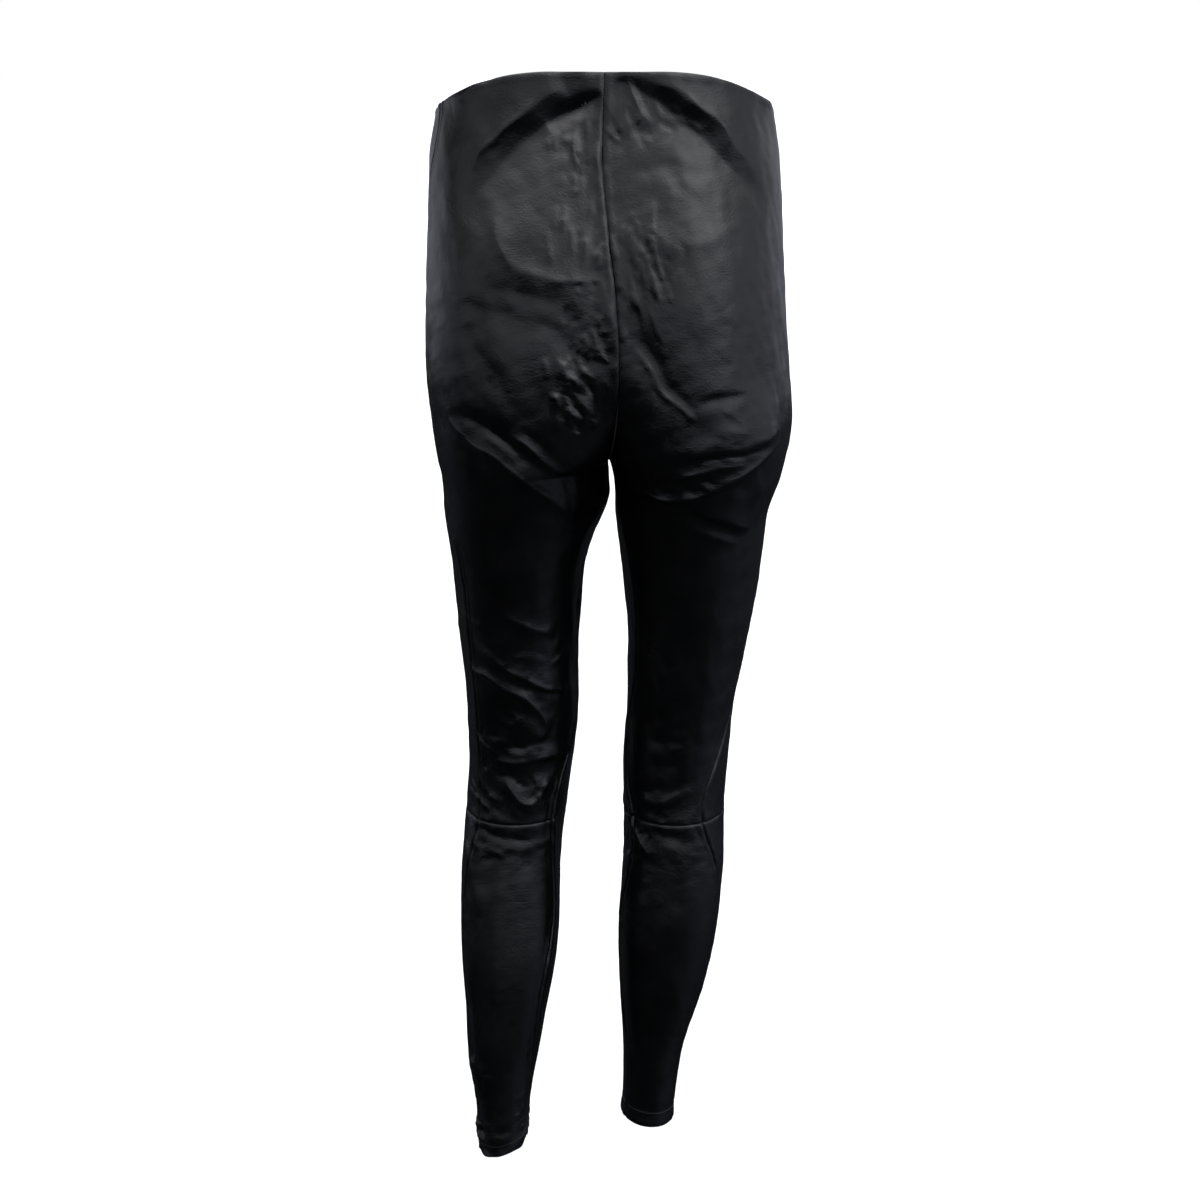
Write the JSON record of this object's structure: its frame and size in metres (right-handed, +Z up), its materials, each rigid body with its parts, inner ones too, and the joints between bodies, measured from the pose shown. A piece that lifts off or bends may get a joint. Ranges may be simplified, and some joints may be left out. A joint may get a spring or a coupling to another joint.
{
  "type": "leather trousers",
  "caption": "High-waisted skinny leather trousers in their worn form: an open tube from the waist that splits into two bent, tapering legs, with side, centre and knee seams.",
  "frame": {"origin": "middle of the waist, level with the waist edge at the sides, where the wearer holds the garment up", "axes": "+Z up, out of the waist and along the trousers' length; the front faces -Y and the seat +Y; the wearer's left leg is on +X"},
  "size_m": [0.3635, 0.2697, 1.1221],
  "materials": {
    "black_leather": "soft satin grain"
  },
  "bodies": {
    "root": {"front_left_upper": "black_leather", "front_left_lower": "black_leather", "front_right_upper": "black_leather", "front_right_lower": "black_leather", "back_left_upper": "black_leather", "back_left_lower": "black_leather", "back_right_upper": "black_leather", "back_right_lower": "black_leather"}
  },
  "joints": []
}
